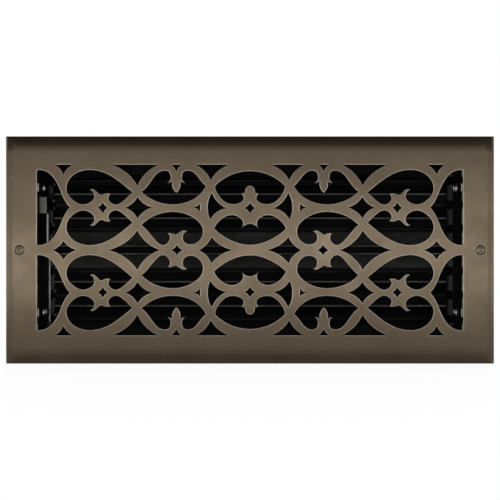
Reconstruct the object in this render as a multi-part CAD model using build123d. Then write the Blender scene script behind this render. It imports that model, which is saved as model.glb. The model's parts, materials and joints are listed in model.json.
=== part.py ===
from build123d import *
import os
from math import cos, radians, sin

# A wall register: a cast scroll faceplate with a blade damper behind it.
# X runs along the plate, Z is up, and the face looks towards -Y.
# The origin is the middle of the plane where the plate meets the wall.

# Faceplate
plate_length = 292.0
plate_height = 136.0
plate_thick = 5.0
edge_width = 6.3
edge_drop = 2.6
side_border = 19.0
top_border = 17.2
grille_thick = 3.5
pocket_margin = 6.0

# Mounting screws
screw_inset = 8.7
screw_shank_r = 1.75
screw_neck_r = 1.5
screw_head_r = 2.75
screw_head_dome = 0.45
screw_head_cone = 1.8
screw_ring_gap = 0.3
screw_length = 25.0
screw_tip = 5.0
recess_length = 3.0
recess_width = 0.7
recess_depth = 0.8
recess_turn = 45.0

# Damper frame, bent from sheet
sheet = 1.0
end_plate_sheet = 1.2
end_plate_inset = 3.0
end_plate_front = 10.0
end_flange_lap = 4.0
end_lip_width = 4.5
frame_front = 1.0
frame_depth = 32.0
web_clear = 0.5
rail_gap = 0.2
rail_lip = 5.8
rail_tab_height = 12.0
rail_tab_depth = 7.0
centre_rail_height = 5.4
centre_rail_depth = 2.4
centre_rail_back = 0.8
tenon_height = 2.0
rivet_r = 1.2
rivet_head_r = 2.0
rivet_head = 0.7
rivet_pitch = 5.0

# Lugs of the casting, and the screws that hold the damper to them
lug_inset = 13.3
lug_width = 5.0
lug_thick = 3.6
lug_back = 9.0
ear_step = 1.2
damper_screw_depth = 4.0
damper_screw_r = 1.4
damper_screw_head_r = 2.0
damper_screw_head = 1.8
damper_screw_length = 4.0

# Blades
blades_per_half = 3
blade_sheet = 0.8
blade_end_gap = 4.0
first_pivot = 13.1
last_pivot_inset = 8.6
pivot_depth = 15.5
rear_lap = 4.2
hem_r = 0.75
bead_inner_r = 1.6
rest_angle = 30.0
closed_angle = 8.0
open_angle = 85.0

# Journals, cranks and the slide bar that turns them
journal_r = 1.55
journal_fit = 0.05
journal_proud = 0.9
journal_in_blade = 10.5
collar_r = 2.6
collar_gap = 0.2
crank_r = 6.0
crank_sheet = 1.2
crank_eye_r = 3.0
crank_pin_r = 1.1
slide_sheet = 1.2
slide_gap = 0.3
slide_wall = 1.5
slot_play = 0.45
slide_top_margin = 5.3
slide_bottom_margin = 1.4
jog_half = 2.0
travel_share = 0.94
tab_clear = 3.0
tab_height = 9.9
tab_reach = 2.8
tab_front = 1.5

field_length = plate_length - 2 * side_border
field_height = plate_height - 2 * top_border
screw_x = plate_length / 2 - screw_inset
plate_front = -plate_thick
grille_back = plate_front + grille_thick
end_plate_inner = field_length / 2 - end_plate_inset
end_plate_outer = end_plate_inner + end_plate_sheet
frame_back = frame_front + frame_depth
web_inner = field_height / 2 + web_clear
ear_inner = end_plate_inner + ear_step
ear_outer = ear_inner + end_plate_sheet
lug_height = field_height / 2 - lug_inset
last_pivot = web_inner - last_pivot_inset
blade_pitch = (last_pivot - first_pivot) / (blades_per_half - 1)
blade_front = blade_pitch / 2
blade_rear = blade_pitch / 2 + rear_lap
blade_length = 2 * (end_plate_inner - blade_end_gap)
journal_end = end_plate_outer + journal_proud
rail_web_front = pivot_depth - centre_rail_back - sheet
travel_up = crank_r * travel_share * radians(rest_angle - closed_angle)
travel_down = crank_r * travel_share * radians(open_angle - rest_angle)
tab_top = lug_height - lug_width / 2 - tab_clear
tab_bottom = tab_top - tab_height
pivots = [
    side * (first_pivot + blade_pitch * n)
    for side in (1, -1)
    for n in range(blades_per_half)
]


def outline(runs, flip_u=1, flip_w=1):
    """A closed hole: runs of two points are lines, of three are arcs, of more are curves."""
    edges = []
    for run in runs:
        points = [(flip_u * u, flip_w * w) for u, w in run]
        if len(points) == 2:
            edges.append(Line(*points))
        elif len(points) == 3:
            edges.append(ThreePointArc(*points))
        else:
            edges.append(Spline(*points))
    return Wire(edges)


def pinched(start, end, centre, pull=0.2):
    """An arc from start to end that bends in towards centre."""
    middle = [(a + b) / 2 + pull * (c - (a + b) / 2) for a, b, c in zip(start, end, centre)]
    return [start, tuple(middle), end]


def star(outer, inner, low, high, tip_u):
    """A four-pointed hole with hollow sides."""
    centre = (tip_u, (low + high) / 2)
    tips = [(outer, centre[1]), (tip_u, high), (inner, centre[1]), (tip_u, low)]
    return [pinched(tips[n], tips[(n + 1) % 4], centre) for n in range(4)]


def half_star(outer, inner, tip_u, tip_w):
    """A three-pointed hole along the border, with hollow sides."""
    edge = drawn_height / 2
    centre = (tip_u, edge)
    return [
        [(outer, edge), (inner, edge)],
        pinched((inner, edge), (tip_u, tip_w), centre),
        pinched((tip_u, tip_w), (outer, edge), centre),
    ]


def about_row(runs):
    """The same hole on the other side of its row's axis."""
    return [[(u, 2 * row_axis - w) for u, w in run] for run in runs]


def across(runs):
    """The same runs mirrored in the middle of the plate, in the order that closes a hole."""
    return [[(-u, w) for u, w in reversed(run)] for run in reversed(runs)]


end_hole = [
    [(127.0, 47.7), (119.3, 45.4), (114.0, 37.9), (110.6, 29.9), (107.4, 25.4)],
    [(107.4, 25.4), (110.6, 20.9), (114.0, 12.9), (119.3, 5.4), (127.0, 3.1)],
    [(127.0, 3.1), (127.0, 47.7)],
]

# The scrolls are drawn at one size and stretch with the field: the end hole reaches the field's end,
# and its tip lies on the axis of its row, of which the field holds two.
drawn_length = 2 * end_hole[0][0][0]
row_axis = end_hole[0][-1][1]
drawn_height = 4 * row_axis

first_eye = [
    [(95.5, 35.8), (93.2, 34.1), (92.8, 31.4), (95.2, 28.6), (99.4, 27.3), (105.8, 30.2),
     (109.3, 36.2), (107.4, 42.4), (102.0, 46.5), (94.2, 47.7), (86.5, 45.9), (77.5, 40.5), (70.1, 34.4)],
    [(70.1, 34.4), (75.2, 29.6), (80.6, 27.3), (84.2, 30.2), (82.9, 33.5)],
    [(82.9, 33.5), (85.6, 33.8), (88.0, 32.8)],
    [(88.0, 32.8), (90.6, 34.1), (93.0, 36.2), (95.5, 35.8)],
]
scroll_side = [
    [(64.6, 34.9), (58.4, 41.8), (52.5, 47.0), (48.2, 46.4), (47.3, 43.6), (49.3, 40.0)],
    [(49.3, 40.0), (47.6, 40.2), (46.2, 41.2)],
    [(46.2, 41.2), (45.9, 36.8), (43.9, 34.0)],
]
second_eye = scroll_side + [
    [(43.9, 34.0), (41.9, 36.8), (41.6, 41.2)],
    [(41.6, 41.2), (40.2, 40.2), (38.5, 40.0)],
    [(38.5, 40.0), (40.5, 43.6), (39.6, 46.4), (35.3, 47.0), (30.5, 42.9), (26.3, 38.2)],
    [(26.3, 38.2), (32.8, 31.0), (46.0, 27.3), (58.3, 30.3), (64.6, 34.9)],
]
second_lower_eye = [
    [(64.6, 14.9), (56.0, 20.7), (45.9, 22.7), (35.5, 20.2), (28.0, 11.5), (30.0, 6.0), (35.3, 3.5),
     (39.4, 5.4), (39.9, 8.6), (37.4, 11.1)],
    [(37.4, 11.1), (39.8, 11.7), (42.0, 10.6), (44.3, 9.1)],
    [(44.3, 9.1), (46.8, 10.1), (49.1, 10.1)],
    [(49.1, 10.1), (47.7, 7.0), (50.7, 3.3), (58.3, 8.4), (64.6, 14.9)],
]
centre_eye_side = [
    [(0.0, 38.5), (2.6, 36.6), (2.7, 34.4)],
    [(2.7, 34.4), (5.2, 33.7)],
    [(5.2, 33.7), (3.9, 30.4), (10.4, 27.4), (17.3, 31.0), (20.8, 38.2)],
]
centre_eye = centre_eye_side + [
    [(20.8, 38.2), (11.5, 44.6), (0.0, 47.0), (-11.5, 44.6), (-20.8, 38.2)],
] + across(centre_eye_side)
centre_lower_side = [
    [(0.0, 15.6), (2.8, 14.8), (5.2, 12.8)],
    [(5.2, 12.8), (4.5, 17.4), (10.0, 20.7), (17.2, 18.2), (21.3, 12.8)],
]
centre_lower_eye = centre_lower_side + [
    [(21.3, 12.8), (11.5, 6.0), (0.0, 3.2), (-11.5, 6.0), (-21.3, 12.8)],
] + across(centre_lower_side)
side_triangle = [
    [(22.7, 34.3), (19.4, 28.6), (14.1, 24.9)],
    [(14.1, 24.9), (19.6, 22.9), (23.6, 18.3)],
    [(23.6, 18.3), (25.2, 26.3), (22.7, 34.3)],
]
small_triangle = [
    [(34.0, 25.4), (31.4, 26.2), (29.7, 27.9)],
    [(29.7, 27.9), (29.7, 22.7)],
    [(29.7, 22.7), (31.4, 24.6), (34.0, 25.4)],
]

quarter_holes = [
    end_hole,
    first_eye,
    about_row(first_eye),
    star(90.6, 84.8, 21.8, 28.7, 87.7),
    star(74.1, 58.5, 19.0, 31.7, 67.0),
    half_star(116.1, 105.6, 111.2, 44.9),
    half_star(82.3, 54.7, 67.0, 38.4),
    half_star(47.0, 40.8, 43.9, 46.7),
    half_star(32.4, 12.5, 23.4, 41.8),
    second_eye,
    second_lower_eye,
    small_triangle,
    side_triangle,
]
middle_row_holes = [
    star(117.4, 103.6, -5.6, 5.6, 111.2),
    star(84.1, 53.9, -11.7, 11.7, 67.1),
    star(46.7, 40.3, -3.3, 3.3, 43.5),
    star(30.4, 10.5, -7.8, 7.8, 23.0),
]
middle_column_holes = [
    centre_eye,
    centre_lower_eye,
    star(3.1, -3.1, 21.7, 28.4, 0.0),
]


def block(x0, x1, y0, y1, z0, z1):
    """A box between two corners, given as pairs for each axis."""
    size = (abs(x1 - x0), abs(y1 - y0), abs(z1 - z0))
    return Pos((x0 + x1) / 2, (y0 + y1) / 2, (z0 + z1) / 2) * Box(*size)


def rod_x(x0, x1, y, z, radius):
    """A round bar along X."""
    return Pos((x0 + x1) / 2, y, z) * Rot(0, 90, 0) * Cylinder(radius, abs(x1 - x0))


def grille_holes():
    """Every opening of the scrollwork, as wires in the plane of the plate."""
    holes = [outline(runs, u, w) for runs in quarter_holes for u in (1, -1) for w in (1, -1)]
    holes += [outline(runs, u, 1) for runs in middle_row_holes for u in (1, -1)]
    holes += [outline(runs, 1, w) for runs in middle_column_holes for w in (1, -1)]
    return holes


def border_profile(length):
    """The plate cut across: its front edges round over to a thinner rim."""
    half = length / 2
    rim = plate_front + edge_drop
    inner = half - edge_width
    return make_face([
        Polyline((-half, rim), (-half, 0), (half, 0), (half, rim)),
        TangentArc((inner, plate_front), (half, rim), tangent=(1, 0)),
        Line((inner, plate_front), (-inner, plate_front)),
        TangentArc((-inner, plate_front), (-half, rim), tangent=(-1, 0)),
    ])


def make_faceplate():
    """The casting: rounded border, pierced scrolls, lugs behind, and screw holes."""
    upright = Plane((0, 0, 0), x_dir=(0, 0, 1), z_dir=(-1, 0, 0))
    plate = extrude(border_profile(plate_length), plate_height, both=True)
    plate &= extrude(upright * border_profile(plate_height), plate_length, both=True)
    pocket_x = field_length / 2 + pocket_margin
    pocket_z = field_height / 2 + pocket_margin
    plate -= block(-pocket_x, pocket_x, plate_front, 0, -pocket_z, pocket_z)
    stretch = (field_length / drawn_length, field_height / drawn_height, 1)
    drawn_rim = Rectangle(2 * pocket_x / stretch[0], 2 * pocket_z / stretch[1]).wire()
    panel = scale(Face(drawn_rim, grille_holes()), by=stretch)
    plate += Pos(0, grille_back, 0) * extrude(Plane.XZ * panel, grille_thick)
    for side in (1, -1):
        for level in (lug_height, -lug_height):
            half = lug_width / 2
            lug = block(
                side * ear_outer, side * (ear_outer + lug_thick), grille_back - sheet, lug_back,
                level - half, level + half,
            )
            bore_end = side * (ear_inner + damper_screw_length + sheet / 2)
            lug -= rod_x(side * ear_outer, bore_end, damper_screw_depth, level, damper_screw_r + journal_fit)
            plate += lug
        plate -= countersink(side * screw_x)
    return plate


def countersink(x):
    """The hole for a mounting screw, with a ring of room round the head."""
    rim = screw_head_r + screw_ring_gap
    hole_r = screw_shank_r + screw_ring_gap
    half = Polyline(
        (0, plate_front - sheet), (rim, plate_front - sheet), (rim, plate_front),
        (hole_r, plate_front + screw_head_cone), (hole_r, sheet), (0, sheet), close=True,
    )
    return Pos(x, 0, 0) * revolve(make_face(half), Axis.Y)


def make_mounting_screws():
    """Two oval-head screws with a cross recess."""
    seat = plate_front + screw_head_cone
    profile = [
        TangentArc((0, plate_front - screw_head_dome), (screw_head_r, plate_front), tangent=(1, 0)),
        Polyline(
            (screw_head_r, plate_front), (screw_neck_r, seat), (screw_neck_r, 0), (screw_shank_r, 0),
            (screw_shank_r, screw_length - screw_tip), (0, screw_length), (0, plate_front - screw_head_dome),
        ),
    ]
    screw = revolve(make_face(profile), Axis.Y)
    top = plate_front - screw_head_dome
    half_l, half_w = recess_length / 2, recess_width / 2
    screw -= block(-half_l, half_l, top - sheet, top + recess_depth, -half_w, half_w)
    screw -= block(-half_w, half_w, top - sheet, top + recess_depth, -half_l, half_l)
    return [Pos(side * screw_x, 0, 0) * Rot(0, recess_turn, 0) * screw for side in (1, -1)]


def make_damper_screws():
    """Four pan-head screws that hold the end plates' ears to the lugs."""
    screws = []
    for side in (1, -1):
        for level in (lug_height, -lug_height):
            head_x = ear_inner - damper_screw_head
            head = rod_x(side * head_x, side * ear_inner, damper_screw_depth, level, damper_screw_head_r)
            inner_face = head.faces().sort_by(Axis.X)[0 if side > 0 else -1]
            head = fillet(inner_face.edges(), damper_screw_head / 2)
            tip = ear_inner + damper_screw_length
            screws.append(
                head + rod_x(side * ear_inner, side * tip, damper_screw_depth, level, damper_screw_r)
            )
    return screws


def make_end_plate(side):
    """A damper end: a web with bores, its front folded out, its rear folded in, and ears at the lugs."""
    top = web_inner - rail_gap
    plate = block(side * end_plate_inner, side * end_plate_outer, end_plate_front, frame_back, -top, top)
    flange_back = end_plate_front + end_plate_sheet
    flange_end = field_length / 2 + end_flange_lap
    plate += block(side * end_plate_inner, side * flange_end, end_plate_front, flange_back, -top, top)
    lip_front = frame_back - end_plate_sheet
    lip_end = end_plate_inner - end_lip_width
    plate += block(side * lip_end, side * end_plate_outer, lip_front, frame_back, -top, top)
    for level in (lug_height, -lug_height):
        half = lug_width / 2
        plate += block(
            side * ear_inner, side * ear_outer, frame_front, end_plate_front,
            level - half, level + half,
        )
        plate -= rod_x(
            side * (ear_inner - sheet), side * (ear_outer + sheet), damper_screw_depth, level,
            damper_screw_r + journal_fit,
        )
    for z in pivots:
        plate -= rod_x(
            side * (end_plate_inner - sheet), side * (end_plate_outer + sheet), pivot_depth, z,
            journal_r + journal_fit,
        )
    for y, z in rivet_places():
        plate -= rod_x(
            side * (end_plate_inner - sheet), side * (end_plate_outer + sheet), y, z, rivet_r + journal_fit
        )
    half = tenon_height / 2 + journal_fit
    plate -= block(
        side * (end_plate_inner - sheet), side * (end_plate_outer + sheet), rail_web_front - journal_fit,
        rail_web_front + sheet + journal_fit, -half, half,
    )
    return plate


def rivet_places():
    """Where rivets join the rails' tabs to the end plates."""
    y = frame_back - rail_tab_depth / 2 - sheet
    inset = rivet_head_r + sheet / 2
    low = web_inner + sheet - rail_tab_height + inset
    return [(y, side * (low + rivet_pitch * n)) for side in (1, -1) for n in (0, 1)]


def make_rail(side):
    """A long side of the damper: web, front and rear lips, and a tab folded down at each end."""
    lip_z = web_inner - rail_lip
    web_end = end_plate_outer + sheet
    web_outer = web_inner + sheet
    rail = block(-web_end, web_end, frame_front, frame_back, side * web_inner, side * web_outer)
    lip_end = end_plate_inner - rail_gap
    rail += block(-lip_end, lip_end, frame_front, frame_front + sheet, side * lip_z, side * web_outer)
    tab_y = frame_back - rail_tab_depth - sheet
    tab_z = web_outer - rail_tab_height
    for end in (1, -1):
        rail += block(
            end * end_plate_outer, end * web_end, tab_y, frame_back - sheet, side * tab_z, side * web_outer
        )
        for y, z in rivet_places():
            rail -= rod_x(end * end_plate_inner, end * (web_end + sheet), y, z, rivet_r + journal_fit)
    return rail


def make_centre_rail():
    """The channel that the two inner blades close against, open to the front, with a tenon at each end."""
    half = centre_rail_height / 2
    back = rail_web_front + sheet
    front = back - centre_rail_depth
    span = end_plate_inner - slide_sheet - slide_gap - crank_sheet - slide_gap
    rail = block(-span, span, front, back, -half, half)
    rail -= block(-span, span, front, rail_web_front, -half + sheet, half - sheet)
    tenon = end_plate_outer
    rail += block(-tenon, tenon, rail_web_front, back, -tenon_height / 2, tenon_height / 2)
    return rail


def make_frame_rivets():
    """The rivets of all four corners, headed on both sides."""
    rivets = []
    for end in (1, -1):
        for y, z in rivet_places():
            outer = end_plate_outer + sheet
            rivet = rod_x(end * end_plate_inner, end * outer, y, z, rivet_r)
            rivet += rod_x(end * outer, end * (outer + rivet_head), y, z, rivet_head_r)
            rivet += rod_x(end * (end_plate_inner - rivet_head), end * end_plate_inner, y, z, rivet_head_r)
            rivets.append(rivet)
    return rivets


def turned(across_blade, off_blade, z):
    """A point of the blade section as Y and Z: across towards the front edge, off out of the front face."""
    half = 1 if z > 0 else -1
    a = radians(rest_angle)
    y = pivot_depth - across_blade * sin(a) - off_blade * cos(a)
    return (y, z + half * (across_blade * cos(a) - off_blade * sin(a)))


def make_blade(z):
    """A blade: two wings with hemmed edges, and a round bead that takes the journals."""
    half_sheet = blade_sheet / 2
    bead_outer_r = bead_inner_r + blade_sheet
    inner_foot = (bead_inner_r**2 - half_sheet**2) ** 0.5
    outer_foot = (bead_outer_r**2 - half_sheet**2) ** 0.5

    def at(a, b):
        return turned(a, b, z)

    section = make_face([
        Line(at(-blade_rear, -half_sheet), at(-inner_foot, -half_sheet)),
        ThreePointArc(at(-inner_foot, -half_sheet), at(0, bead_inner_r), at(inner_foot, -half_sheet)),
        Polyline(
            at(inner_foot, -half_sheet), at(blade_front, -half_sheet),
            at(blade_front, half_sheet), at(outer_foot, half_sheet),
        ),
        ThreePointArc(at(outer_foot, half_sheet), at(0, bead_outer_r), at(-outer_foot, half_sheet)),
        Polyline(at(-outer_foot, half_sheet), at(-blade_rear, half_sheet), at(-blade_rear, -half_sheet)),
    ])
    for edge in (blade_front, -blade_rear):
        section += Pos(*at(edge, 0)) * Circle(hem_r)
    return Pos(-blade_length / 2, 0, 0) * extrude(Plane.YZ * section, blade_length)


def crank_angle(angle):
    """How far a crank stands above level when the blades stand at this angle."""
    return (closed_angle + open_angle) / 2 - angle


def crank_pin_place(z, angle=rest_angle):
    """Where a crank's pin stands: before the pivot in the upper half, behind it in the lower half."""
    half = 1 if z > 0 else -1
    a = radians(crank_angle(angle))
    return (pivot_depth - half * crank_r * cos(a), z + crank_r * sin(a))


def make_crank(z):
    """The left journal of a blade, with its crank arm and pin."""
    slide_inner = end_plate_inner - slide_gap - slide_sheet
    outer = slide_inner - slide_gap
    inner = outer - crank_sheet
    y, pin_z = crank_pin_place(z)
    arm = make_hull([
        *(Pos(pivot_depth, z) * Circle(crank_eye_r)).edges(),
        *(Pos(y, pin_z) * Circle(crank_pin_r + sheet)).edges(),
    ])
    crank = Pos(-outer, 0, 0) * extrude(Plane.YZ * arm, crank_sheet)
    crank += rod_x(-journal_end, -blade_length / 2 + journal_in_blade, pivot_depth, z, journal_r)
    crank += rod_x(-slide_inner - slide_sheet, -inner, y, pin_z, crank_pin_r)
    return crank


def make_pivot(z):
    """The right journal of a blade, with the collar that keeps it off the end plate."""
    pivot = rod_x(blade_length / 2 - journal_in_blade, journal_end, pivot_depth, z, journal_r)
    collar_start = blade_length / 2 + collar_gap
    return pivot + rod_x(collar_start, end_plate_inner - collar_gap, pivot_depth, z, collar_r)


def make_slide_bar():
    """The slide bar: a leg before the upper pivots, a leg behind the lower ones, slots and the thumb tab."""
    outer = end_plate_inner - slide_gap
    inner = outer - slide_sheet
    reach = crank_r + crank_pin_r + slot_play + slide_wall
    back = journal_r + slide_gap + slide_wall
    top = last_pivot + slide_top_margin
    bottom = -last_pivot - slide_bottom_margin
    bar = block(-outer, -inner, pivot_depth - reach, pivot_depth + back, -jog_half, top)
    bar += block(-outer, -inner, pivot_depth - back, pivot_depth + reach, bottom, jog_half)
    bar += block(-outer, -inner, tab_front, pivot_depth - reach, tab_bottom, tab_top)
    tab_end = end_plate_inner + tab_reach
    bar += block(-tab_end, -inner, tab_front, tab_front + slide_sheet, tab_bottom, tab_top)

    def slot(y0, y1, z0, z1):
        return block(-outer - sheet, -inner + sheet, y0, y1, z0, z1)

    for z in pivots:
        side = journal_r + slide_gap
        bar -= slot(pivot_depth - side, pivot_depth + side, z - travel_up - side, z + travel_down + side)
        near = crank_pin_place(z, (closed_angle + open_angle) / 2)[0]
        far = crank_pin_place(z, closed_angle)[0]
        room = crank_pin_r + slot_play
        pin_z = crank_pin_place(z)[1]
        bar -= slot(min(near, far) - room, max(near, far) + room, pin_z - room, pin_z + room)
    half = tenon_height / 2 + slide_gap
    web_back = rail_web_front + sheet
    bar -= slot(rail_web_front - slide_gap, web_back + slide_gap, -half - travel_up, half + travel_down)
    return bar


def parts():
    """Every node of the register, by name."""
    made = {
        "faceplate": make_faceplate(),
        "mounting_screws": make_mounting_screws(),
        "damper_screws": make_damper_screws(),
        "left_end_plate": make_end_plate(-1),
        "right_end_plate": make_end_plate(1),
        "top_rail": make_rail(1),
        "bottom_rail": make_rail(-1),
        "centre_rail": make_centre_rail(),
        "frame_rivets": make_frame_rivets(),
        "slide_bar": make_slide_bar(),
    }
    for number, z in enumerate(pivots, 1):
        made[f"blade_{number}"] = make_blade(z)
        made[f"crank_{number}"] = make_crank(z)
        made[f"pivot_{number}"] = make_pivot(z)
    return made


os.makedirs("parts", exist_ok=True)
for name, shape in parts().items():
    solids = [s for item in shape for s in item.solids()] if isinstance(shape, list) else shape.solids()
    export_step(Compound(children=solids) if len(solids) > 1 else solids[0], f"parts/{name}.step")
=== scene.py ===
import json
import math

import bmesh
import bpy
from mathutils import Matrix, Vector


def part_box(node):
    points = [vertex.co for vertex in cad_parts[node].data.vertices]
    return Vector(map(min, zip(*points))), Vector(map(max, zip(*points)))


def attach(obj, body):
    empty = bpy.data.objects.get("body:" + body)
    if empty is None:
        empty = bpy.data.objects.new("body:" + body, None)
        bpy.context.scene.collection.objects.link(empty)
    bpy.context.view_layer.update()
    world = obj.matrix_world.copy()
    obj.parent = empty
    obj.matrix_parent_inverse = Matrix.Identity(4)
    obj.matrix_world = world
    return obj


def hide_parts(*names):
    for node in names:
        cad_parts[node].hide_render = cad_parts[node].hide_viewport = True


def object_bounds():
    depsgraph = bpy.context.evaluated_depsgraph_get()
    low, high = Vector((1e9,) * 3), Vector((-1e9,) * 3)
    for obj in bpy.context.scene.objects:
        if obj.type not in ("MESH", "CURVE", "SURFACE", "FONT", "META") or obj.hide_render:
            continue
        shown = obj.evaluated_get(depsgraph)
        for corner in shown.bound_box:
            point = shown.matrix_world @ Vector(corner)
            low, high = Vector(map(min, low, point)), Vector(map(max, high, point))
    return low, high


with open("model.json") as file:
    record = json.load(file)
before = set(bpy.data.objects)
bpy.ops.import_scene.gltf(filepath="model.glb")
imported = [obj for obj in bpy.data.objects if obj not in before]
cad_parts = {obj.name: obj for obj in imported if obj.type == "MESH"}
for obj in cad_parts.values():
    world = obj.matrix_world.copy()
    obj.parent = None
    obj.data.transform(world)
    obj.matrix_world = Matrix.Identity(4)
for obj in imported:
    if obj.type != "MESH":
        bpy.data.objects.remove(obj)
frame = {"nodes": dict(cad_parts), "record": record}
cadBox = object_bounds()
nodes = frame["nodes"]
print("frame loaded:", len(nodes), "nodes")

white = (1, 1, 1, 1)
# how fine the noise is, and the part of its range that it mostly keeps to
patterns = dict(cloudDetail=4.0, grainDetail=6.0, roughness=0.6, low=0.3, high=0.7)


def newNode(tree, kind, place, **sockets):
    node = tree.nodes.new(kind)
    node.location = place
    for name, value in sockets.items():
        node.inputs[name].default_value = value
    return node


def mathNode(tree, operation, place, *terms, clamp=False):  # a term is a number or another node's output
    node = newNode(tree, "ShaderNodeMath", place)
    node.operation = operation
    node.use_clamp = clamp
    for socket, term in zip(node.inputs, terms):
        if isinstance(term, float):
            socket.default_value = term
        else:
            tree.links.new(term, socket)
    return node.outputs["Value"]


def mixShaders(tree, place, share, first, second):
    node = newNode(tree, "ShaderNodeMixShader", place)
    for socket, output in zip(node.inputs, (share, first, second)):
        tree.links.new(output, socket)
    return node.outputs["Shader"]


def cloudNoise(tree, coords, size, detail, place):  # size in metres, one cloud to the next
    noise = newNode(
        tree, "ShaderNodeTexNoise", place, Scale=1.0 / size, Detail=detail, Roughness=patterns["roughness"]
    )
    tree.links.new(coords, noise.inputs["Vector"])
    return noise.outputs["Fac"]


def mapTo(tree, value, low, high, place, fromLow=patterns["low"], fromHigh=patterns["high"]):
    ranger = newNode(tree, "ShaderNodeMapRange", place)
    for name, number in (("From Min", fromLow), ("From Max", fromHigh), ("To Min", low), ("To Max", high)):
        ranger.inputs[name].default_value = number
    tree.links.new(value, ranger.inputs["Value"])
    return ranger.outputs["Result"]


def rubbedAndLitRims(tree, colour, look):  # the finish is rubbed off along sharp edges, and the lighter rim colour is also a painted highlight of rounded edges catching light
    rounded = newNode(tree, "ShaderNodeBevel", (-900, 600), Radius=look["rimWidth"])
    rounded.samples = look["rimSamples"]
    straight = newNode(tree, "ShaderNodeNewGeometry", (-900, 800))
    agreement = newNode(tree, "ShaderNodeVectorMath", (-700, 700))
    agreement.operation = "DOT_PRODUCT"
    tree.links.new(rounded.outputs["Normal"], agreement.inputs[0])
    tree.links.new(straight.outputs["Normal"], agreement.inputs[1])
    wearAndHighlight = mapTo(tree, agreement.outputs["Value"], 1.0, 0.0, (-500, 600), *look["rimTurn"])
    rims = newNode(tree, "ShaderNodeMix", (-100, 400))
    rims.data_type = "RGBA"
    tree.links.new(wearAndHighlight, rims.inputs["Factor"])
    tree.links.new(colour, rims.inputs["A"])
    rims.inputs["B"].default_value = (*look["rim"], 1.0)
    return rims.outputs["Result"]


def finishMaterial(name, look):
    material = bpy.data.materials.new(name)
    material.use_nodes = True
    tree = material.node_tree
    shader = tree.nodes["Principled BSDF"]
    shader.inputs["Metallic"].default_value = look["metallic"]
    shader.inputs["Specular IOR Level"].default_value = look["specular"]
    coords = newNode(tree, "ShaderNodeTexCoord", (-1300, 0)).outputs["Object"]
    stretch = newNode(tree, "ShaderNodeMapping", (-1100, -200), Scale=look["stretch"])
    tree.links.new(coords, stretch.inputs["Vector"])
    cloud = cloudNoise(tree, coords, look["cloudSize"], patterns["cloudDetail"], (-900, 200))
    grain = cloudNoise(
        tree, stretch.outputs["Vector"], look["grainSize"], patterns["grainDetail"], (-900, -200)
    )
    # colour: broad clouds of the finish, with the grain laid over them
    cloudShare = mapTo(tree, cloud, 0.0, 1.0, (-750, 300))
    grainShare = mapTo(tree, grain, -look["grainTone"], look["grainTone"], (-750, 0))
    blend = mathNode(tree, "ADD", (-600, 200), grainShare, cloudShare, clamp=True)
    tones = newNode(tree, "ShaderNodeMix", (-400, 200))
    tones.data_type = "RGBA"
    tones.inputs["A"].default_value = (*look["dark"], 1.0)
    tones.inputs["B"].default_value = (*look["light"], 1.0)
    tree.links.new(blend, tones.inputs["Factor"])
    colour = tones.outputs["Result"]
    if "rim" in look:
        colour = rubbedAndLitRims(tree, colour, look)
    tree.links.new(colour, shader.inputs["Base Color"])
    # gloss: the lighter clouds are a little smoother
    smooth, matt = look["rough"]
    tree.links.new(mapTo(tree, cloud, matt, smooth, (-400, -100)), shader.inputs["Roughness"])
    bump = newNode(tree, "ShaderNodeBump", (-300, -400), Strength=look["bump"], Distance=look["bumpHeight"])
    tree.links.new(grain, bump.inputs["Height"])
    tree.links.new(bump.outputs["Normal"], shader.inputs["Normal"])
    if "rimRound" in look:  # the casting's sharp edges are a little soft
        soft = newNode(tree, "ShaderNodeBevel", (-500, -600), Radius=look["rimRound"])
        soft.samples = look["rimSamples"]
        tree.links.new(soft.outputs["Normal"], bump.inputs["Normal"])
    return material


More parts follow.
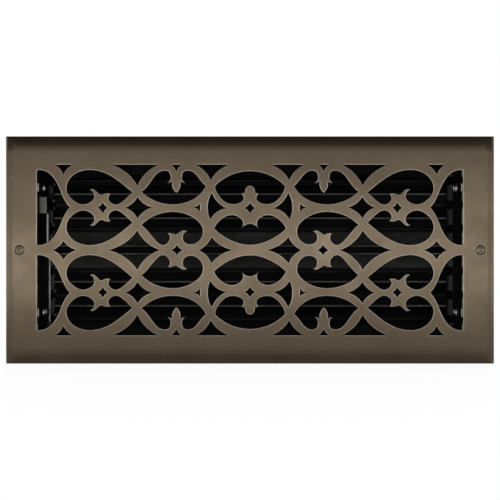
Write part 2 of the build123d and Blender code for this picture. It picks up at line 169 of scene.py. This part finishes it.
finishes = {
    "bronze": dict(
        dark=(0.165, 0.127, 0.086), light=(0.210, 0.164, 0.113), metallic=1.0, specular=0.5,
        rough=(0.19, 0.25), bump=0.25, bumpHeight=0.00006,
        cloudSize=0.030, grainSize=0.0011, grainTone=0.25, stretch=(1, 1, 1),
        # rim colour: worn bronze, lightened further as a painted highlight along the edges
        rim=(0.500, 0.455, 0.385), rimWidth=0.0012, rimTurn=(0.93, 0.995), rimRound=0.0005, rimSamples=8,
    ),
    # the screws' bronze is a lighter copy of the plate's: painted light, so the domed heads show as light as
    # the plate
    "bronze_screw": dict(
        dark=(0.310, 0.240, 0.165), light=(0.400, 0.315, 0.225), metallic=0.65, specular=0.3,
        rough=(0.30, 0.40), bump=0.25, bumpHeight=0.00005,
        cloudSize=0.004, grainSize=0.0006, grainTone=0.3, stretch=(1, 1, 1),
    ),
    "black_steel": dict(
        dark=(0.005, 0.005, 0.0054), light=(0.010, 0.010, 0.0106), metallic=0.0, specular=0.05,
        rough=(0.46, 0.58), bump=0.3, bumpHeight=0.00005,
        cloudSize=0.020, grainSize=0.0012, grainTone=0.3, stretch=(1, 1, 1),
    ),
    # a darker copy of the black steel: painted shade for parts deep in the box and in recesses
    "black_and_shade": dict(
        dark=(0.002, 0.002, 0.0022), light=(0.004, 0.004, 0.0043), metallic=0.0, specular=0.04,
        rough=(0.46, 0.58), bump=0.3, bumpHeight=0.00005,
        cloudSize=0.006, grainSize=0.0010, grainTone=0.3, stretch=(1, 1, 1),
    ),
    "blade_steel": dict(
        dark=(0.005, 0.005, 0.0054), light=(0.011, 0.011, 0.0116), metallic=0.0, specular=0.15,
        rough=(0.34, 0.44), bump=0.3, bumpHeight=0.00005,
        cloudSize=0.024, grainSize=0.0012, grainTone=0.3, stretch=(0.12, 1, 1),
    ),
    # a lighter steel on the blades' front edges: painted highlight
    "blade_edge": dict(
        dark=(0.110, 0.110, 0.105), light=(0.210, 0.210, 0.200), metallic=0.5, specular=0.5,
        rough=(0.26, 0.38), bump=0.3, bumpHeight=0.00004,
        cloudSize=0.016, grainSize=0.0010, grainTone=0.4, stretch=(0.12, 1, 1),
    ),
    # a lighter copy of the blade steel: painted light on the faces of the two middle blades
    "painted_lit_steel": dict(
        dark=(0.045, 0.047, 0.043), light=(0.100, 0.104, 0.096), metallic=0.0, specular=0.10,
        rough=(0.60, 0.75), bump=0.3, bumpHeight=0.00005,
        cloudSize=0.018, grainSize=0.0012, grainTone=0.4, stretch=(0.3, 1, 1),
    ),
    "lever_steel": dict(
        dark=(0.190, 0.196, 0.172), light=(0.250, 0.256, 0.228), metallic=0.6, specular=0.5,
        rough=(0.36, 0.46), bump=0.3, bumpHeight=0.00005,
        cloudSize=0.008, grainSize=0.0008, grainTone=0.3, stretch=(1, 1, 0.3),
    ),
    # bare steel laid on edges where they catch light: painted highlight
    "bare_steel": dict(
        dark=(0.340, 0.340, 0.325), light=(0.460, 0.460, 0.445), metallic=0.7, specular=0.5,
        rough=(0.26, 0.36), bump=0.3, bumpHeight=0.00004,
        cloudSize=0.006, grainSize=0.0007, grainTone=0.3, stretch=(1, 1, 0.2),
    ),
    "zinc": dict(
        dark=(0.66, 0.66, 0.65), light=(0.86, 0.86, 0.84), metallic=1.0, specular=0.5,
        rough=(0.09, 0.16), bump=0.25, bumpHeight=0.00004,
        cloudSize=0.003, grainSize=0.0006, grainTone=0.3, stretch=(0.3, 1, 1),
    ),
}
materials = {name: finishMaterial(name, look) for name, look in finishes.items()}
for part in frame["record"]["subparts"]:
    mesh = nodes[part["node"]].data
    mesh.materials.clear()
    linkage = part["node"].startswith(("crank_", "pivot_"))  # the working parts take the darker black: painted shade deep in the box ends
    mesh.materials.append(materials["black_and_shade" if linkage else part["material_slot"]])
print("finishes:", len(materials))

# a node's loose triangles are joined to whole faces, and its corners stay crisp
mending = dict(merge=1e-6, flatAngle=math.radians(1.0), crispAngle=math.radians(35.0), facing=0.999)


def copyOfNode(name):
    shape = bmesh.new()
    shape.from_mesh(nodes[name].data)
    bmesh.ops.remove_doubles(shape, verts=shape.verts, dist=mending["merge"])
    bmesh.ops.dissolve_limit(
        shape, angle_limit=mending["flatAngle"], use_dissolve_boundaries=False,
        verts=shape.verts, edges=shape.edges,
    )
    return shape


def roundEdges(shape, edges, corner):
    bmesh.ops.bevel(
        shape, geom=edges, offset=corner["round"], offset_type="OFFSET", segments=corner["segments"],
        profile=0.5, affect="EDGES", clamp_overlap=True, material=-1,
    )


def pieceInPlace(shape, name, body, looks):
    for face in shape.faces:
        face.smooth = abs(face.normal.y) < mending["facing"]
    for edge in shape.edges:
        edge.smooth = edge.calc_face_angle(math.pi) < mending["crispAngle"]
    bmesh.ops.triangulate(shape, faces=shape.faces)
    mesh = bpy.data.meshes.new(name + "_dressed")
    shape.to_mesh(mesh)
    shape.free()
    for look in looks:
        mesh.materials.append(materials[look])
    piece = bpy.data.objects.new(name + "_dressed", mesh)
    bpy.context.scene.collection.objects.link(piece)
    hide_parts(name)
    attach(piece, body)
    return piece


def screwSizes():
    low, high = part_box("mounting_screws")
    headRadius = (high.z - low.z) / 2
    return high.x - headRadius, headRadius


screwX, screwHeadRadius = screwSizes()


def fromScrew(vert):  # distance from the nearer mounting screw's axis
    return Vector((abs(vert.co.x) - screwX, vert.co.z)).length


plateBorder = dict(width=0.0095, screwRoom=0.0008)  # wider than the rounded edge, and than the screw heads


def makeFaceplate():
    shape = copyOfNode("faceplate")
    # cuts beside the rounded border keep its shading off the grille and out of the corners
    inner = cadBox[1] - Vector((1, 1, 1)) * plateBorder["width"]
    for cut in (Vector((inner.x, 0, 0)), Vector((0, 0, inner.z))):
        for side in (-1, 1):
            everything = [*shape.verts, *shape.edges, *shape.faces]
            bmesh.ops.bisect_plane(shape, geom=everything, plane_co=cut * side, plane_no=cut.normalized())
    for face in shape.faces:  # the countersinks round the screw heads take the darker black: painted shade in the gap round each head
        reach = max(fromScrew(v) for v in face.verts)
        if face.normal.y > -mending["facing"] and reach < screwHeadRadius + plateBorder["screwRoom"]:
            face.material_index = 1
    piece = pieceInPlace(shape, "faceplate", "register", ["bronze", "black_and_shade"])
    for face in piece.data.polygons:  # the rounding runs out softly into the flat
        if abs(face.center.x) > inner.x or abs(face.center.z) > inner.z:
            face.use_smooth = True
    return piece


faceplate = makeFaceplate()
print("faceplate:", len(faceplate.data.polygons), "faces")

# the part of the rolled front edge that takes the lighter edge steel, a painted highlight, and how far a
# face turns to the front to take the lighter painted light
bladeHem = dict(depth=0.0013, facing=-0.75, litFacing=-0.3)


def fromMiddle(name):
    low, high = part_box(name)
    return abs(low.z + high.z) / 2


def makeBlade(name, paintedLit):
    shape = copyOfNode(name)
    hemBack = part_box(name)[0].y + bladeHem["depth"]
    for face in shape.faces:
        middle = face.calc_center_median()
        if middle.y < hemBack and face.normal.y < bladeHem["facing"]:
            face.material_index = 1
        elif paintedLit and face.normal.y < bladeHem["litFacing"] and abs(middle.z) < fromMiddle(name):
            face.material_index = 2
    return pieceInPlace(shape, name, name, ["blade_steel", "blade_edge", "painted_lit_steel"])


bladeNames = sorted(name for name in nodes if name.startswith("blade_"))
nearest = min(fromMiddle(name) for name in bladeNames)  # the two blades beside the centre rail take a lighter steel: painted light where light falls through the grille
blades = [makeBlade(name, fromMiddle(name) < nearest + mending["merge"]) for name in bladeNames]
print("blades:", len(blades))

railCorner = dict(round=0.0006, segments=2, facing=0.2)


def makeCentreRail():
    shape = copyOfNode("centre_rail")
    low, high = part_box("centre_rail")

    def atCorner(vert):
        return vert.co.y < low.y + mending["merge"] and abs(vert.co.z) > high.z - mending["merge"]

    roundEdges(shape, [e for e in shape.edges if all(atCorner(v) for v in e.verts)], railCorner)
    for face in shape.faces:  # the channel's outer corners take bare steel: painted highlight along the corners
        if face.normal.y < -railCorner["facing"] and abs(face.normal.z) > railCorner["facing"]:
            face.material_index = 1
    return pieceInPlace(shape, "centre_rail", "register", ["black_steel", "bare_steel"])


makeCentreRail()
print("centre rail")

slideEdges = dict(round=0.00018, segments=2, sharpAngle=math.radians(50.0), tabDepth=0.002, facing=-0.9)


def makeSlideBar():
    shape = copyOfNode("slide_bar")
    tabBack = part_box("slide_bar")[0].y + slideEdges["tabDepth"]
    tabBottom = min(v.co.z for v in shape.verts if v.co.y < tabBack)
    # the tab is plated and the bar is black; the bar's front edge below the tab takes bare steel, a painted
    # highlight, and the rest of the bar takes the darker black, painted shade
    for face in shape.faces:
        middle = face.calc_center_median()
        if middle.y > tabBack:
            bareAndLit = face.normal.y < slideEdges["facing"] and middle.z < tabBottom
            face.material_index = 1 if bareAndLit else 2
    sharp = [e for e in shape.edges if e.calc_face_angle() > slideEdges["sharpAngle"]]
    roundEdges(shape, sharp, slideEdges)
    looks = ["lever_steel", "bare_steel", "black_and_shade"]
    return pieceInPlace(shape, "slide_bar", "slide", looks)


makeSlideBar()
print("slide bar")

# core, root and outer are shares of the shank's radius, and pitch, ridge and lead are lengths along it
screwThread = dict(core=0.78, root=0.72, outer=0.99, pitch=0.0013, ridge=0.0010, lead=0.0010, turnSteps=20)
screwHead = dict(round=0.0003, segments=3, outer=0.99)


def addThread(shape, axisX, radius, start, end):
    turns = int((end - start) / screwThread["pitch"])
    root = axisX + radius * screwThread["root"]
    half = screwThread["ridge"] / 2
    corners = [(root, start - half, 0), (axisX + radius, start, 0), (root, start + half, 0)]
    ridge = shape.faces.new([shape.verts.new(corner) for corner in corners])
    before = set(shape.faces) - {ridge}
    bmesh.ops.spin(
        shape, geom=[*ridge.verts, *ridge.edges, ridge], cent=(axisX, 0, 0), axis=(0, 1, 0),
        dvec=(0, screwThread["pitch"] / screwThread["turnSteps"], 0),
        angle=2 * math.pi * turns, steps=turns * screwThread["turnSteps"], use_merge=False,
    )
    bmesh.ops.recalc_face_normals(shape, faces=[f for f in shape.faces if f not in before])


def makeMountingScrews():
    shape = copyOfNode("mounting_screws")
    shanks = [v for v in shape.verts if v.co.y > -mending["merge"]]
    radius = max(fromScrew(v) for v in shanks)
    outer = [v for v in shanks if fromScrew(v) > screwThread["outer"] * radius]
    start = min(v.co.y for v in outer) + screwThread["lead"]
    end = max(v.co.y for v in outer)
    # the shank is cut back to its core, and the ridge stands as far out as the shank did
    for side in (-1, 1):
        bmesh.ops.scale(
            shape, vec=(screwThread["core"], 1, screwThread["core"]),
            verts=[v for v in outer if v.co.x * side > 0], space=Matrix.Translation((-side * screwX, 0, 0)),
        )
        addThread(shape, side * screwX, radius, start, end)
    rimRadius = screwHead["outer"] * screwHeadRadius
    rims = [e for e in shape.edges if all(fromScrew(v) > rimRadius for v in e.verts)]
    roundEdges(shape, rims, screwHead)
    return pieceInPlace(shape, "mounting_screws", "register", ["bronze_screw"])


makeMountingScrews()
print("mounting screws")

studio = dict(
    ambient=0.55, floorDrop=0.0005, floorSize=1.2, floorTone=0.48, floorRough=0.9,
    floorLight=1.5, floorGlow=0.6, floorGloss=0.06,  # white to the eye, with room left for the shadow
    # height of a direction above the horizon, as a sine, and how light the room is there
    room=((0.0, 1.0), (0.07, 1.0), (0.095, 0.38), (0.12, 0.21), (0.20, 0.17), (0.40, 0.12), (1.0, 0.07)),
)


def makeWorld():
    world = bpy.data.worlds.new("studio")
    bpy.context.scene.world = world
    world.use_nodes = True
    tree = world.node_tree
    tree.nodes.clear()
    out = newNode(tree, "ShaderNodeOutputWorld", (800, 0))
    seen = newNode(tree, "ShaderNodeBackground", (200, 200), Color=white, Strength=1.0)
    mirrored = newNode(tree, "ShaderNodeBackground", (200, 0))
    ambient = newNode(tree, "ShaderNodeBackground", (200, -200), Color=white, Strength=studio["ambient"])
    # what metal shows: a white room that darkens towards its ceiling and floor
    coords = newNode(tree, "ShaderNodeTexCoord", (-800, 0))
    axes = newNode(tree, "ShaderNodeSeparateXYZ", (-600, 0))
    tree.links.new(coords.outputs["Generated"], axes.inputs["Vector"])
    ramp = newNode(tree, "ShaderNodeValToRGB", (-200, 0))
    stops = ramp.color_ramp.elements
    for sine, light in studio["room"]:
        ends = {0.0: stops[0], 1.0: stops[-1]}
        stop = ends.get(sine) or stops.new(sine)
        stop.color = (light, light, light, 1.0)
    tree.links.new(mathNode(tree, "ABSOLUTE", (-400, 0), axes.outputs["Z"]), ramp.inputs["Fac"])
    tree.links.new(ramp.outputs["Color"], mirrored.inputs["Color"])
    rays = newNode(tree, "ShaderNodeLightPath", (-200, 500)).outputs
    gloss = mathNode(tree, "MAXIMUM", (0, 500), rays["Is Glossy Ray"], rays["Is Transmission Ray"])
    around = mixShaders(tree, (400, 0), gloss, ambient.outputs["Background"], mirrored.outputs["Background"])
    shown = mixShaders(tree, (600, 0), rays["Is Camera Ray"], around, seen.outputs["Background"])
    tree.links.new(shown, out.inputs["Surface"])


def makeFloor():
    height = cadBox[0].z - studio["floorDrop"]
    bpy.ops.mesh.primitive_plane_add(size=studio["floorSize"], location=(0, 0, height))
    floor = bpy.context.object
    floor.name = "floor"
    material = bpy.data.materials.new("paleFloor")
    material.use_nodes = True
    tree = material.node_tree
    shader = tree.nodes["Principled BSDF"]
    shader.inputs["Base Color"].default_value = (studio["floorTone"],) * 3 + (1.0,)
    shader.inputs["Roughness"].default_value = studio["floorRough"]
    glow = newNode(tree, "ShaderNodeEmission", (0, 300), Color=white, Strength=studio["floorLight"])
    rays = newNode(tree, "ShaderNodeLightPath", (-400, 500)).outputs
    direct = mathNode(tree, "MAXIMUM", (-300, 300), rays["Is Camera Ray"], rays["Is Transmission Ray"])
    mirrored = mathNode(tree, "MULTIPLY", (-300, 500), rays["Is Glossy Ray"], studio["floorGloss"])
    share = mathNode(tree, "MULTIPLY_ADD", (-100, 400), direct, studio["floorGlow"], mirrored)
    shown = mixShaders(tree, (300, 200), share, shader.outputs["BSDF"], glow.outputs["Emission"])
    tree.links.new(shown, tree.nodes["Material Output"].inputs["Surface"])
    floor.data.materials.append(material)


lamps = {
    "frontStrip": dict(place=(0, -1.6, 0.0), size=(3.0, 0.14), power=1.2, mirrored=True),
    "backSoft": dict(place=(0, 1.7, 0.15), size=(1.2, 0.3), power=35.0, mirrored=False),
}


def makeLamps():
    for name, lamp in lamps.items():
        light = bpy.data.lights.new(name, "AREA")
        light.shape = "RECTANGLE"
        light.size, light.size_y = lamp["size"]
        light.energy = lamp["power"]
        item = bpy.data.objects.new(name, light)
        item.location = lamp["place"]
        item.visible_glossy = lamp["mirrored"]
        item.rotation_euler = (-Vector(lamp["place"])).to_track_quat("-Z", "Y").to_euler()
        bpy.context.scene.collection.objects.link(item)


lens = dict(distance=0.540, frontPlane=-0.005, frameWidth=0.2978, nearest=0.01, farthest=50.0)


def makeCamera():
    data = bpy.data.cameras.new("camera")
    data.sensor_fit = "HORIZONTAL"
    data.angle = 2 * math.atan(lens["frameWidth"] / 2 / lens["distance"])
    data.clip_start, data.clip_end = lens["nearest"], lens["farthest"]
    camera = bpy.data.objects.new("camera", data)
    camera.location = (0, lens["frontPlane"] - lens["distance"], 0)
    camera.rotation_euler = (math.pi / 2, 0, 0)
    bpy.context.scene.collection.objects.link(camera)
    bpy.context.scene.camera = camera


makeWorld()
makeFloor()
makeLamps()
makeCamera()
bpy.context.scene.view_settings.view_transform = "Standard"
print("studio ready")
